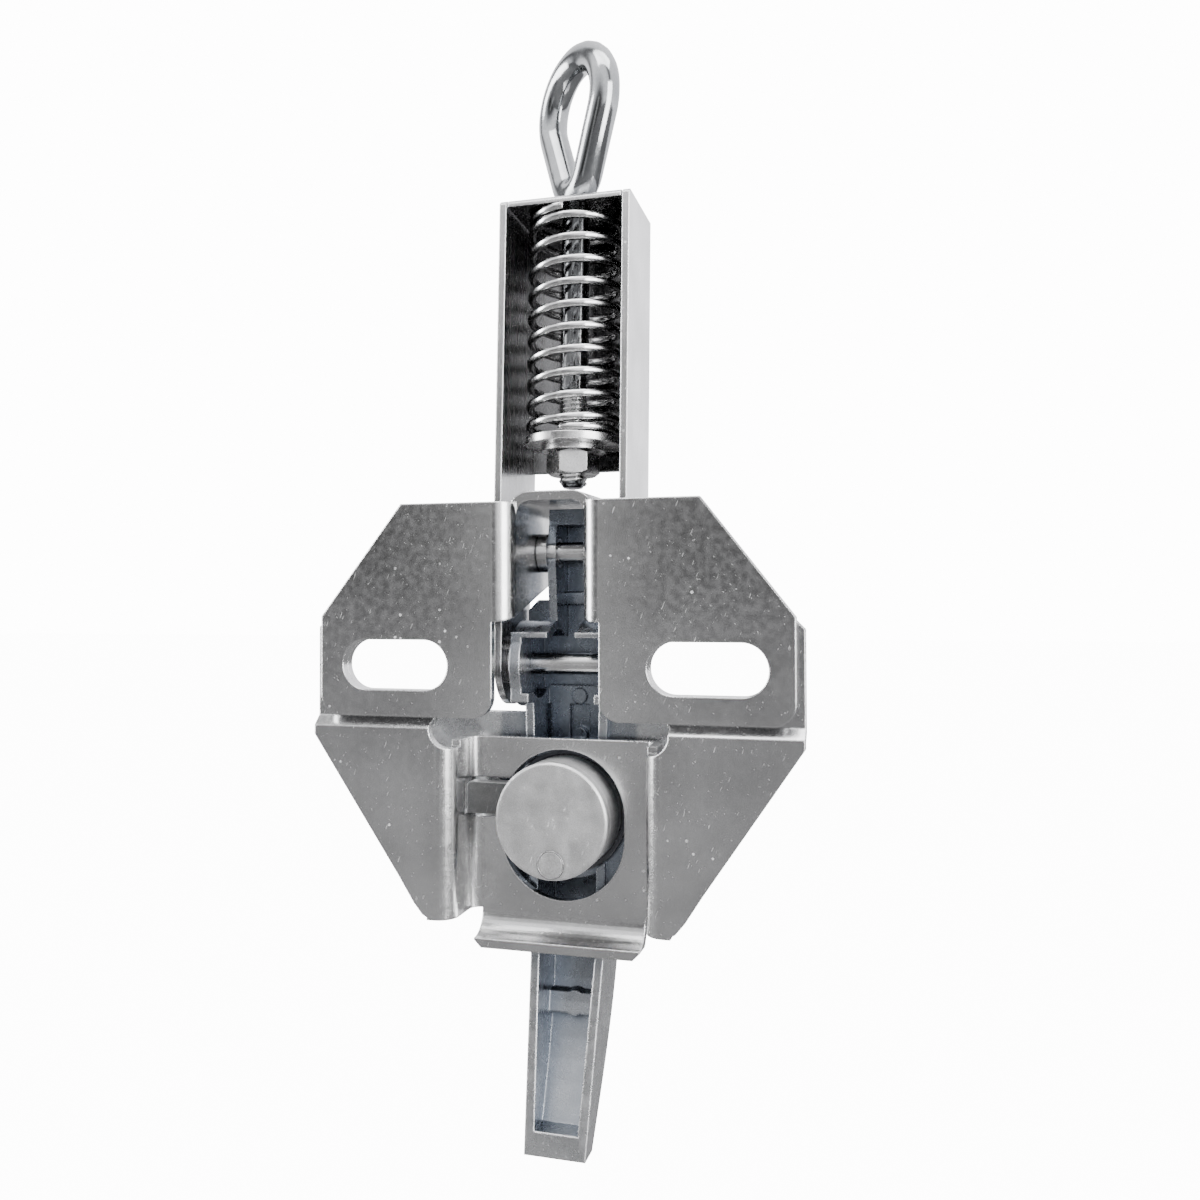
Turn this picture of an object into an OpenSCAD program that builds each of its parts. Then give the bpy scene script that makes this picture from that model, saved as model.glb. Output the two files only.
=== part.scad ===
// Over-centre draw latch for an engine cover, with a lock barrel in its handle.
// The mounting face is Y = 0, everything stands out to +Y, and Z = 0 is the slots' centre line.

/* [Upper bracket] */
// Thickness of the brackets' sheet
sheet_t = 2.5; // [2:0.25:3]
// Outer radius of the brackets' bends
bend_r = 5; // [4.5:0.5:6]
// Half width over the upper wings
wing_x = 64; // [61:1:70]
// Height of the wings' top edge
wing_top = 43; // [42:0.5:44]
// Depth of the wings' bottom edge below the slots' centre line
wing_low = 13.7; // [12:0.5:15]
// Half width of the wings' top edge
wing_top_x = 40.5; // [34:1:50]
// Height at which the wings' slanted corner ends
wing_side_z = 13; // [10:1:20]
// Radius of the wings' lower corners
wing_corner_r = 5.5; // [3:0.5:6]
// Distance between the two mounting slots
slot_pitch = 84.4; // [80:0.2:88]
// End-to-end length of a mounting slot
slot_l = 30.4; // [24:0.2:32]
// Width of a mounting slot
slot_w = 13.4; // [9:0.2:14]
// Half width inside the pivot housing
hat_x = 9.5; // [9.5:0.25:10.5]
// How far the pivot housing stands out
hat_y = 36; // [34:0.5:37]
// Height of the pivot housing's outer top
hat_top = 46; // [46:0.25:47]
// Height of the housing walls' lower edge at its bend
hat_low = 13; // [12:0.5:14]
// Slope of the housing walls' lower edge in degrees
hat_slope = 16.5; // [12:0.5:18]

/* [Lower bracket] */
// Half width over the lower wings
lower_x = 66; // [65:0.5:71]
// Height of the tabs behind the upper wings
tab_top = 13.5; // [11:0.5:15]
// Half distance between the tabs
tab_x = 22; // [21:0.5:24]
// Half width inside the pan
pan_x = 25.7; // [25.2:0.1:26.5]
// Depth of the pan's plate from the mounting face
pan_y = 15; // [14.5:0.25:15.5]
// Inner radius between the pan's walls and plate
pan_r = 2.7; // [2:0.1:3]
// Depth of the plate's top edge below the slots
pan_top = 20.2; // [19.5:0.1:21]
// Depth of the lower wings' bottom edge
pan_low = 67; // [66:0.5:69]
// Depth at which the lip's bend starts
lip_z = 67.4; // [67.2:0.1:69]
// Inner radius of the lip's bend
lip_r = 6; // [5:0.25:6.5]
// Half width of the lip
lip_x = 22.9; // [19:0.1:22.9]
// Width of the opening for the lock barrel
port_w = 34.4; // [33.6:0.2:36]
// Height of the opening for the lock barrel
port_h = 40.5; // [39:0.5:42]
// Depth of the opening's centre
port_z = 43.4; // [42.5:0.1:44.5]
// Radius of the relief notches at the pan's corners
relief_r = 5.3; // [4.5:0.1:5.5]

/* [Pivots] */
// Distance of the handle's pivot from the mounting face
pivot_y = 26; // [25:0.5:26]
// Height of the handle's pivot
pivot_z = 30.4; // [30:0.1:31]
// Distance of the link's pivot from the mounting face
link_y = 24.3; // [24:0.1:25]
// Height of the link's pivot
link_z = -0.6; // [-1:0.1:0]
// Diameter of both pivot pins
pin_d = 6; // [5:0.5:7]
// Diameter of the pins' heads
pin_head_d = 9.5; // [9:0.5:12]
// Thickness of the pins' heads
pin_head_t = 1.8; // [1.2:0.2:2.2]
// Thickness of the pins' retaining clips
clip_t = 0.9; // [0.7:0.1:1.2]
// Diameter of the pins' retaining clips
clip_d = 11; // [10.5:0.5:13]
// Diameter of the pins in their clip grooves
groove_d = 4.6; // [4:0.2:4.8]
// Diameter of the bushes in the handle's neck
bush_d = 8.4; // [8:0.2:9]
// Diameter of the bushes' collars
bush_collar_d = 11; // [10:0.5:13]
// Diameter of the washers beside the hub
link_washer_d = 15; // [12:0.5:16]
// Radial running clearance of the pins
run_c = 0.05; // [0.02:0.01:0.09]
// Side clearance between parts that turn on each other
side_c = 0.15; // [0.1:0.05:0.3]

/* [Handle] */
// Wall thickness of the casting
cast_t = 2.4; // [2:0.1:2.8]
// Half width of the neck
neck_x = 6.4; // [6:0.1:7]
// Radius of the neck's rounded top
neck_r = 12.3; // [11:0.1:12.6]
// Depth of the neck's open edge from the mounting face
neck_y = 22; // [21.4:0.1:22.4]
// Half width of the hub
hub_x = 14.3; // [13.5:0.1:14.6]
// Radius of the hub
hub_r = 12; // [11.5:0.1:12.2]
// Thickness of the hub's cheeks
hub_t = 3; // [2.6:0.1:3.4]
// Depth of the hub's open rim from the mounting face
hub_y = 14; // [13:0.5:15]
// Half width of the outer face above the hub
brow_x = 16; // [15:0.1:16.2]
// Height of the outer face's top edge beside the neck
brow_z = 17.2; // [15:0.1:17.3]
// Half width of the grip below the hub
grip_top_x = 11.7; // [11:0.1:12.2]
// Half width of the grip where it starts to taper
grip_mid_x = 10.3; // [9.5:0.1:10.8]
// Half width of the grip's end
grip_end_x = 8.4; // [7.5:0.1:9.2]
// Depth of the grip's open edge from the mounting face
grip_y = 18.8; // [18.3:0.1:19.4]
// Depth of the handle's outer face
skin_y = 36; // [35:0.25:36.5]
// Depth of the open edge at the grip's end
end_y = 7.7; // [6:0.1:9]
// Thickness of the grip's end from open edge to outer face
end_t = 6.6; // [6:0.1:8]
// Depth below the slots at which the open edge turns in
grip_mid_z = 80; // [78:1:84]
// Depth below the slots of the grip's end
grip_end_z = 128.6; // [122:0.5:134]
// Thickness of the block that closes the grip's end
grip_block = 6; // [4:0.5:8]
// Half width of the guard flange
guard_x = 43; // [38:0.5:46]
// Thickness of the guard flange
guard_t = 2.4; // [2:0.1:2.8]
// Depth of the guard flange's top edge below the slots
guard_top = 13.8; // [13.7:0.1:15]
// Height of the guard flange's straight sides
guard_side = 10.4; // [6:0.4:16]

/* [Lock] */
// Diameter of the lock barrel
lock_d = 30.7; // [29.5:0.1:31]
// Depth of the lock's axis below the slots
lock_z = 40.5; // [40:0.1:41]
// Distance of the barrel's end from the mounting face
lock_y = 4.8; // [4:0.1:5.5]
// Thickness of the barrel's end cap
cap_t = 3.2; // [2.6:0.1:3.6]
// Diameter of the cap's screw
cap_screw_d = 6.8; // [5:0.2:7]
// Wall between the cap's screw and the cap's rim
cap_screw_edge = 0.8; // [0.7:0.1:1.5]
// Length of the cap's screw
cap_screw_l = 9.8; // [7:0.2:10]
// Wall of the boss around the barrel
boss_t = 3.1; // [2.4:0.1:3.4]
// Thickness of the ring that holds the barrel
ring_t = 1.6; // [1.2:0.1:1.8]
// Thickness of the barrel's outer flange
face_t = 1.5; // [1:0.1:2]
// Diameter of the key plug
plug_d = 13; // [12:0.2:14]
// Height of the lock bolt
bolt_h = 8.5; // [7.5:0.1:9]
// Thickness of the lock bolt
bolt_t = 3.7; // [3:0.1:4]
// Reach of the bolt's tip from the lock's axis
bolt_reach = 25.2; // [25:0.1:25.3]
// Throw of the bolt and eccentricity of its drive pin
bolt_throw = 4.5; // [4:0.1:4.8]
// Diameter of the bolt's drive pin
drive_d = 2.5; // [2:0.1:3]
// Clearance around the bolt
bolt_c = 0.35; // [0.25:0.05:0.4]

/* [Spring channel] */
// Thickness of the channel's sheet
channel_t = 2; // [1.8:0.1:2.2]
// Half width inside the channel
channel_x = 16.7; // [16.5:0.1:17.2]
// Depth of the channel in front of the link pin
channel_near = 13.8; // [13.6:0.1:14.2]
// Depth of the channel behind the link pin
channel_far = 14.5; // [14.5:0.1:15.5]
// Radius of the channel arms' ends
arm_r = 11.5; // [11:0.1:11.7]
// Height of the channel above the link pin
channel_h = 128.8; // [124:0.2:134]
// Height of the web's lower edge above the link pin
web_z = 56; // [54:0.5:58]
// Gap between the channel's walls and the top flap
flap_c = 0.4; // [0.2:0.1:0.6]
// Lean of the link away from the mounting face in degrees
lean = 3; // [2:0.5:4]

/* [Eye bolt and spring] */
// Diameter of the eye bolt's shank
rod_d = 8; // [7.6:0.1:8.4]
// Distance of the shank in front of the link pin
rod_y = 1.3; // [1.1:0.1:1.5]
// Height of the shank's lower end above the link pin
rod_low = 49.1; // [48.6:0.1:50]
// Width across the nut's flats
nut_af = 13; // [12.5:0.1:14]
// Height of the nut
nut_h = 6.5; // [6:0.1:7]
// Distance of the nut from the shank's end
nut_up = 3.5; // [2:0.1:4]
// Diameter of the flat washer
washer_d = 18; // [16:0.5:20]
// Thickness of the flat washer
washer_t = 1.6; // [1.2:0.1:2]
// Diameter of the spring seat
seat_d = 27; // [25:0.5:27.2]
// Thickness of the spring seat
seat_t = 2.2; // [1.6:0.1:3]
// Outer diameter of the spring
spring_d = 27; // [25:0.2:27.2]
// Diameter of the spring's wire
wire_d = 2.4; // [2:0.1:2.6]
// Turns between the spring's closed ends
spring_turns = 9; // [7:1:11]
// Clear radius inside the eye
eye_hole_r = 9.6; // [8:0.1:10.4]
// Diameter of the eye's stock
eye_wire_d = 8.6; // [8:0.1:9]
// Bend radius at the eye's foot
eye_foot_r = 6.2; // [5:0.1:6.8]
// Distance from the eye's centre down to its foot bend
eye_rise = 19; // [17:0.1:22]
// Height of the eye's foot bend above the channel
eye_up = 11.7; // [11.3:0.1:16]
// Turn of the eye about its shank in degrees
eye_turn = 41; // [0:1:90]

/* [Hidden] */
$fn = 64;
eps = 0.01;
arc_steps = 10;
big = 200;
inner_bend_r = bend_r - sheet_t;
hat_out_x = hat_x + sheet_t;
pan_out_x = pan_x + sheet_t;
pan_wing_x = pan_x + bend_r;
wing_in_x = hat_x + bend_r;
pin_r = pin_d / 2;
bore_r = pin_r + run_c;
lock_r = lock_d / 2;
boss_r = lock_r + run_c + boss_t;
ring_r = lock_r + 1.4;
cap_screw_z = lock_r - cap_screw_edge - cap_screw_d / 2;
cap_rim = 0.5;
cap_y = lock_y + cap_t;
bolt_y = cap_y + 1 + bolt_c;
bolt_far_y = bolt_y + bolt_t;
bolt_z = -lock_z + bolt_throw;
plate_far_y = pan_y + sheet_t;
guard_y = plate_far_y + 2.8;
boss_y = guard_y + guard_t - 1.7;
face_y = skin_y + face_t;
seat_z = rod_low + nut_up + nut_h + washer_t;
spring_z = seat_z + seat_t;
tab_z = channel_h - channel_t;
eye_z = channel_h + eye_up + eye_rise;
eye_ring_r = eye_hole_r + eye_wire_d / 2;

// Extrudes a (Y, Z) profile along X, centred on X = 0
module along_x(w) {
    rotate([90, 0, 90]) linear_extrude(height = w, center = true) children();
}

// Extrudes an (X, Z) outline from Y = y0 to Y = y1
module along_y(y0, y1) {
    translate([0, y1, 0]) rotate([90, 0, 0]) linear_extrude(height = y1 - y0) children();
}

// Extrudes an (X, Y) section from Z = z0 to Z = z1
module along_z(z0, z1) {
    translate([0, 0, z0]) linear_extrude(height = z1 - z0) children();
}

// A cylinder along X from x0 to x1 about the axis (y, z)
module rod_x(x0, x1, r, y, z) {
    translate([x0, y, z]) rotate([0, 90, 0]) cylinder(h = x1 - x0, r = r);
}

// A cylinder along Y from y0 to y1 about the axis (x, z)
module rod_y(y0, y1, r, x, z) {
    translate([x, y1, z]) rotate([90, 0, 0]) cylinder(h = y1 - y0, r = r);
}

// Repeats its children on both sides of X = 0
module both_sides() {
    children();
    mirror([1, 0, 0]) children();
}

// Quarter of a bent sheet's section about the centre (x, y), in the quadrant (sx, sy)
module bend_section(x, y, r, sx, sy) {
    translate([x, y]) intersection() {
        difference() {
            circle(r = r);
            circle(r = r - sheet_t);
        }
        translate([sx > 0 ? 0 : -2 * r, sy > 0 ? 0 : -2 * r]) square(2 * r);
    }
}

// An obround with its centre at (x, z), l long and w wide along X
module obround(x, z, l, w) {
    translate([x, z]) {
        square([l - w, w], center = true);
        translate([(l - w) / 2, 0]) circle(d = w);
        translate([(w - l) / 2, 0]) circle(d = w);
    }
}

// Outline of the right upper wing with its rounded lower corners
module wing_outline() {
    r = wing_corner_r;
    polygon([
        [wing_in_x, -wing_low + r], [wing_in_x, wing_top], [wing_top_x, wing_top],
        [wing_x, wing_side_z], [wing_x, -wing_low + r], [wing_x - r, -wing_low],
        [wing_in_x + r, -wing_low]
    ]);
    translate([wing_in_x + r, -wing_low + r]) circle(r = r);
    translate([wing_x - r, -wing_low + r]) circle(r = r);
}

// The two slots that both brackets share
module mount_slots() {
    both_sides() along_y(-1, 2 * sheet_t + 1) obround(slot_pitch / 2, 0, slot_l, slot_w);
}

module upper_bracket() color("lightsteelblue") {
    edge_z = hat_low - bend_r * tan(hat_slope);
    difference() {
        union() {
            both_sides() {
                along_y(0, sheet_t) wing_outline();
                along_z(edge_z, wing_top) bend_section(wing_in_x, bend_r, bend_r, -1, -1);
            }
            hat_shell();
        }
        mount_slots();
        hat_lower_cut();
        rod_x(-big, big, bore_r, pivot_y, pivot_z);
    }
}

// The pivot housing: two walls joined by a rounded top, open below and outwards
module hat_shell() {
    top_r = bend_r + sheet_t / 2;
    along_y(bend_r - eps, hat_y) difference() {
        union() {
            translate([-hat_out_x, 0]) square([2 * hat_out_x, hat_top - top_r]);
            translate([-hat_out_x + top_r, 0]) square([2 * (hat_out_x - top_r), hat_top]);
            translate([-hat_out_x + top_r, hat_top - top_r]) circle(r = top_r);
            translate([hat_out_x - top_r, hat_top - top_r]) circle(r = top_r);
        }
        in_r = top_r - sheet_t;
        translate([-hat_x, -1]) square([2 * hat_x, hat_top - top_r + 1]);
        translate([-hat_x + in_r, -1]) square([2 * (hat_x - in_r), hat_top - sheet_t + 1]);
        translate([-hat_x + in_r, hat_top - top_r]) circle(r = in_r);
        translate([hat_x - in_r, hat_top - top_r]) circle(r = in_r);
    }
}

// What lies below the housing walls' slanted edge, between the wings
module hat_lower_cut() {
    far_z = hat_low + (hat_y - bend_r) * tan(hat_slope);
    near_z = hat_low - bend_r * tan(hat_slope);
    along_x(2 * wing_in_x - eps) polygon([
        [-1, -big], [-1, near_z], [0, near_z],
        [hat_y, far_z], [hat_y + 1, far_z], [hat_y + 1, -big]
    ]);
}

// Outline of the right tab and lower wing together
module lower_outline() {
    polygon([
        [tab_x, -relief_r - 6], [tab_x, tab_top], [lower_x - 3.5, tab_top],
        [lower_x, tab_top - 3.5], [lower_x, -pan_top + 1.2], [41, -pan_low + 11.4],
        [36.5, -pan_low + 4.4], [34, -pan_low + 1.4], [31.5, -pan_low],
        [pan_wing_x + 0.3, -pan_low], [pan_wing_x + 0.3, -16.7], [27, -relief_r - 6]
    ]);
}

// Side profile of the tab, the joggle and the lower wing
module joggle_profile() {
    z0 = -wing_low - 0.4;
    step = sheet_t;
    polygon([
        [sheet_t, tab_top + 1], [sheet_t, z0], [0, z0 - step], [0, -pan_low - 1],
        [sheet_t, -pan_low - 1], [sheet_t, z0 - step - 1], [2 * sheet_t, z0 - 1],
        [2 * sheet_t, tab_top + 1]
    ]);
}

// Points of an arc about (x, y) from angle a0 to a1
function arc(x, y, r, a0, a1) = [
    for (i = [0:arc_steps])
        let (a = a0 + (a1 - a0) * i / arc_steps) [x + r * cos(a), y + r * sin(a)]
];

// Half section of the pan: a strip of the wing, bend, wall, corner and plate
module pan_section() {
    wall_end = pan_y - pan_r;
    flat_x = pan_x - pan_r;
    polygon(concat(
        [[-1, pan_y]], arc(flat_x, wall_end, pan_r, 90, 0),
        arc(pan_wing_x, bend_r, bend_r, 180, 270),
        [[pan_wing_x + 2, 0], [pan_wing_x + 2, sheet_t]],
        arc(pan_wing_x, bend_r, inner_bend_r, 270, 180),
        arc(flat_x, wall_end, pan_r + sheet_t, 0, 90), [[-1, plate_far_y]]
    ));
}

// The plate's foot with the lip bent towards the mounting face
module lip() {
    r = lip_r + sheet_t;
    y = pan_y - lip_r;
    intersection() {
        along_x(2 * lip_x) polygon(concat(
            [[pan_y, -pan_low + 1]], arc(y, -lip_z, lip_r, 0, -90),
            [[y - 0.4, -lip_z - lip_r], [y - 0.4, -lip_z - r]],
            arc(y, -lip_z, r, -90, 0), [[plate_far_y, -pan_low + 1]]
        ));
        along_y(0, big) polygon([
            [-lip_x + 3, -lip_z - r - 1], [-lip_x, -lip_z - r + 2], [-lip_x, 0],
            [lip_x, 0], [lip_x, -lip_z - r + 2], [lip_x - 3, -lip_z - r - 1]
        ]);
    }
}

module lower_bracket() color("slategray") {
    arc_z = (port_h - port_w) / 2;
    difference() {
        union() {
            both_sides() {
                intersection() {
                    along_x(2 * big) joggle_profile();
                    along_y(-1, 2 * sheet_t + 1) lower_outline();
                }
                along_z(-pan_low, -pan_top) pan_section();
            }
            lip();
        }
        mount_slots();
        both_sides() rod_y(-1, bend_r + 1, relief_r, pan_x + 1.3, -16.7);
        rod_y(pan_y - 1, plate_far_y + 1, port_w / 2, 0, -port_z + arc_z);
        rod_y(pan_y - 1, plate_far_y + 1, port_w / 2, 0, -port_z - arc_z);
        along_y(pan_y - 1, plate_far_y + 1)
            translate([0, -port_z]) square([port_w, 2 * arc_z], center = true);
        bolt_slot();
    }
}

// Slot in the pan's left wall for the lock bolt, and the gap that lets the bolt swing out
module bolt_slot() {
    top = bolt_z + bolt_h / 2 + bolt_c;
    low = bolt_z - bolt_h / 2 - bolt_c;
    along_y(bolt_y - bolt_c, bolt_far_y + bolt_c)
        translate([-pan_out_x - 1, low]) square([sheet_t + 2, top - low]);
    along_y(bolt_y - bolt_c, plate_far_y + 1)
        translate([-pan_x + 0.05, low - 1.5]) square([pan_x - 14, top - low + 1.5]);
}

// A headed pin along X with a clip groove: head to -X, grip length from -half to half
module headed_pin(half, y, z) {
    tip = half + side_c + clip_t + 1.2;
    rod_x(-half - pin_head_t, -half, pin_head_d / 2, y, z);
    rod_x(-half - eps, half + side_c, pin_r, y, z);
    rod_x(half + side_c - eps, half + side_c + clip_t + eps, groove_d / 2, y, z);
    rod_x(half + side_c + clip_t, tip, pin_r - 0.2, y, z);
}

// A retaining clip in the groove of a headed pin, open on one side
module groove_clip(half, y, z) {
    x0 = half + side_c + 0.05;
    difference() {
        rod_x(x0, x0 + clip_t - 0.1, clip_d / 2, y, z);
        rod_x(x0 - 1, x0 + clip_t + 1, groove_d / 2 + 0.02, y, z);
        translate([x0 - 1, y - groove_d / 2 + 0.3, z - clip_d])
            cube([clip_t + 2, groove_d - 0.6, clip_d]);
    }
}

module pivot_pin() color("silver") headed_pin(hat_out_x, pivot_y, pivot_z);

module pivot_clip() color("dimgray") groove_clip(hat_out_x, pivot_y, pivot_z);

// Depth of the handle's outer face at the share t of its curved end
function skin_at(t) = skin_y - (skin_y - end_y - end_t) * (1 - cos(90 * t));

// The curved outer face, moved in by d, from the grip's end upwards
function skin_curve(d) = [
    for (i = [12:-1:0])
        let (t = i / 12, z0 = grip_mid_z - 10)
            [skin_at(t) - d, -z0 - t * (grip_end_z - z0)]
];

// Side profile of the grip: open edge, end and curved outer face
module grip_side() {
    polygon(concat(
        [[skin_y, -4], [grip_y, -4], [grip_y, -grip_mid_z], [end_y, -grip_end_z]],
        skin_curve(0)
    ));
}

// Side profile of the grip's hollow, open towards the mounting face
module grip_hollow_side() {
    polygon(concat(
        [[skin_y - cast_t, -hub_r + 0.8], [-1, -hub_r + 0.8], [-1, -grip_end_z - 5]],
        skin_curve(cast_t)
    ));
}

// Front outline of the grip, moved in by d
module grip_front(d) {
    both_mirror() polygon([
        [0, -2], [grip_top_x - d, -2], [grip_top_x - d, -hub_r],
        [grip_mid_x - d, -grip_mid_z], [grip_end_x - d, -grip_end_z + d * 2.4],
        [0, -grip_end_z + d * 2.4]
    ]);
}

// Repeats a flat outline on both sides of X = 0
module both_mirror() {
    children();
    mirror([1, 0]) children();
}

// Outline of the guard flange that covers the pan from outside
module guard_outline() {
    c = 4;
    low = guard_top + guard_side;
    both_mirror() polygon([
        [0, -guard_top], [guard_x - c, -guard_top], [guard_x - 1.2, -guard_top - 1.2],
        [guard_x, -guard_top - c], [guard_x, -low], [grip_mid_x, -grip_mid_z],
        [0, -grip_mid_z]
    ]);
}

// Side profile of the neck, from its rounded top down into the hub
module neck_side() {
    polygon(concat(
        [[skin_y, pivot_z - 6], [skin_y, 2], [neck_y + 1.9, 2], [neck_y + 1.7, pivot_z - 18],
         [neck_y + 0.8, pivot_z - 10.4], [neck_y, pivot_z - 2], [neck_y + 0.3, pivot_z + 3],
         [neck_y + 1.6, pivot_z + 8]],
        arc(pivot_y, pivot_z, neck_r, 100, 0)
    ));
}

// Front outline of the outer face above the hub, from the hub's width to its top edge
module brow_front() {
    both_mirror() polygon([
        [0, link_z], [hub_x, link_z], [brow_x, link_z + 6], [brow_x, brow_z - 3],
        [brow_x - 3, brow_z], [0, brow_z]
    ]);
}

// Side profile of the hub
module hub_side() {
    translate([link_y, link_z]) circle(r = hub_r);
    translate([hub_y, link_z - hub_r + 2]) square([skin_y - hub_y, 2 * hub_r - 5]);
}

// The handle's walls, before the lock's boss and the ribs are added
module handle_shell() {
    difference() {
        union() {
            along_x(2 * neck_x) neck_side();
            along_x(2 * hub_x) hub_side();
            along_y(skin_y - cast_t, skin_y) brow_front();
            intersection() {
                along_x(3 * hub_x) grip_side();
                along_y(0, big) grip_front(0);
            }
            along_y(guard_y, guard_y + guard_t) guard_outline();
        }
        neck_hollow();
        hub_hollow();
        intersection() {
            along_x(3 * hub_x) grip_hollow_side();
            along_y(-1, big) grip_front(cast_t);
        }
    }
}

// The neck's hollow between its cheeks, closed by a cross block at the top
module neck_hollow() {
    along_x(2 * (neck_x - cast_t)) polygon([
        [-1, pivot_z + neck_r - 4.6], [skin_y - cast_t, pivot_z + neck_r - 4.6],
        [skin_y - cast_t, 4], [-1, 4]
    ]);
}

// The hub's hollow between its cheeks, open towards the mounting face and into the grip
module hub_hollow() {
    r = hub_r - cast_t;
    along_x(2 * (hub_x - hub_t)) union() {
        translate([-1, link_z - r + 2]) square([skin_y - cast_t + 1, 2 * r - 4]);
        translate([link_y, link_z]) circle(r = r);
    }
    along_x(2 * (grip_top_x - cast_t)) translate([-1, -hub_r - 1])
        square([skin_y - cast_t + 1, hub_r]);
}

// Steps, ridge and ejector marks inside the casting
module handle_ribs() {
    floor_y = skin_y - cast_t;
    step_h = 1.6;
    pin_z = [link_z - 9.6, link_z - 20.6];
    step_x = grip_top_x - cast_t + eps;
    along_y(floor_y - step_h, floor_y + eps) translate([-step_x, link_z - 12])
        square([2 * step_x, 5.4]);
    both_sides() along_y(floor_y - step_h, floor_y + eps)
        translate([2.9, -lock_z + boss_r - 2]) square([5.4, lock_z - boss_r + link_z - 9]);
    for (z = pin_z) rod_y(floor_y - step_h - 0.7, floor_y + eps, 2.2, 0, z);
    intersection() {
        union() {
            translate([-big / 2, 18, -97.3]) cube([big, floor_y, 5.2]);
            rod_y(14, floor_y, 3.1, 0, -94.7);
        }
        along_x(3 * hub_x) ridge_side();
        along_y(0, big) grip_front(cast_t - eps);
    }
}

// Side profile of the ridge zone: a strip of even height over the grip's floor
module ridge_side() {
    curve = skin_curve(cast_t - eps);
    polygon(concat(curve, [for (i = [12:-1:0]) curve[i] - [3.4, 0]]));
}

module handle() color("darkgray") {
    difference() {
        union() {
            handle_shell();
            handle_ribs();
            rod_y(boss_y, skin_y, boss_r, 0, -lock_z);
        }
        rod_y(-1, big, lock_r + run_c, 0, -lock_z);
        rod_y(-1, boss_y, ring_r + 0.3, 0, -lock_z);
        rod_x(-big, big, bore_r, link_y, link_z);
        rod_x(-big, big, bush_d / 2 + run_c, pivot_y, pivot_z);
    }
}

module pivot_bushes() color("goldenrod") both_sides() difference() {
    union() {
        rod_x(neck_x - cast_t, neck_x + eps, bush_d / 2, pivot_y, pivot_z);
        rod_x(neck_x, hat_x - side_c, bush_collar_d / 2, pivot_y, pivot_z);
    }
    rod_x(0, big, bore_r, pivot_y, pivot_z);
}

// The lock's barrel with its outer flange, plug bore and bolt guide
module lock_housing() color("lightgray") {
    guide_low = bolt_z - bolt_h / 2 - bolt_c;
    guide_x = bolt_throw + drive_d / 2 + 3.4;
    difference() {
        union() {
            rod_y(cap_y, skin_y, lock_r, 0, -lock_z);
            rod_y(skin_y, face_y, lock_r + boss_t * 0.6, 0, -lock_z);
        }
        rod_y(bolt_far_y + bolt_c, face_y + 1, plug_d / 2 + run_c, 0, -lock_z);
        along_y(bolt_y - bolt_c, bolt_far_y + bolt_c) union() {
            translate([-lock_d, guide_low]) square([lock_d + guide_x, bolt_h + 2 * bolt_c]);
            translate([0, -lock_z]) circle(r = bolt_throw + drive_d / 2 + 0.5);
        }
        rod_y(cap_y - 1, lock_y + cap_screw_l + 0.4, cap_screw_d / 2 + run_c, 0, -lock_z - cap_screw_z);
    }
}

module lock_cap() color("gainsboro") difference() {
    union() {
        rod_y(lock_y + cap_rim, cap_y, lock_r, 0, -lock_z);
        translate([0, lock_y + cap_rim + eps, -lock_z]) rotate([90, 0, 0])
            cylinder(h = cap_rim + eps, r1 = lock_r, r2 = lock_r - cap_rim);
    }
    rod_y(lock_y - 1, cap_y + 1, cap_screw_d / 2 + run_c, 0, -lock_z - cap_screw_z);
}

module cap_screw() color("gray")
    rod_y(lock_y - 0.15, lock_y + cap_screw_l, cap_screw_d / 2, 0, -lock_z - cap_screw_z);

module lock_ring() color("dimgray") difference() {
    rod_y(boss_y - ring_t, boss_y, ring_r, 0, -lock_z);
    rod_y(0, big, lock_r + run_c, 0, -lock_z);
}

// The key plug with its keyway in the outer face
module lock_plug() color("khaki") difference() {
    rod_y(bolt_far_y + bolt_c + 0.1, face_y, plug_d / 2, 0, -lock_z);
    translate([-1, face_y - 18, -lock_z - 4]) cube([2, 19, 8]);
    rod_y(0, bolt_far_y + bolt_c + 6, drive_d / 2 + run_c, 0, bolt_z);
}

module drive_pin() color("dimgray")
    rod_y(bolt_y - bolt_c + 0.2, bolt_far_y + bolt_c + 6, drive_d / 2, 0, bolt_z);

// The lock bolt, with an open slot that the drive pin works in
module lock_bolt() color("dimgray") {
    slot_r = drive_d / 2 + 1.2;
    difference() {
        along_y(bolt_y, bolt_far_y) polygon([
            [-bolt_reach, bolt_z - bolt_h / 2], [-bolt_reach, bolt_z + bolt_h / 2 - 0.8],
            [-bolt_reach + 0.8, bolt_z + bolt_h / 2], [7.3, bolt_z + bolt_h / 2],
            [7.3, bolt_z - bolt_h / 2]
        ]);
        rod_y(0, big, slot_r, 0, bolt_z);
        translate([-slot_r, 0, bolt_z - bolt_h]) cube([2 * slot_r, big, bolt_h]);
    }
}

// Places its children on the link: origin on the link pin, Z along the leaning channel
module link_frame() {
    translate([0, link_y, link_z]) rotate([-lean, 0, 0]) children();
}

// The same, with the origin on the eye bolt's axis
module rod_frame() {
    link_frame() translate([0, -rod_y, 0]) children();
}

// Side profile of the channel's arms and side walls
module channel_side() {
    polygon([
        [-arm_r + 0.05, 0], [-arm_r, 10], [-channel_near, 26], [-channel_near, channel_h - 1],
        [-channel_near + 1, channel_h], [channel_far, channel_h], [channel_far, web_z - 4],
        [arm_r, 15], [arm_r - 0.05, 0]
    ]);
}

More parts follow.
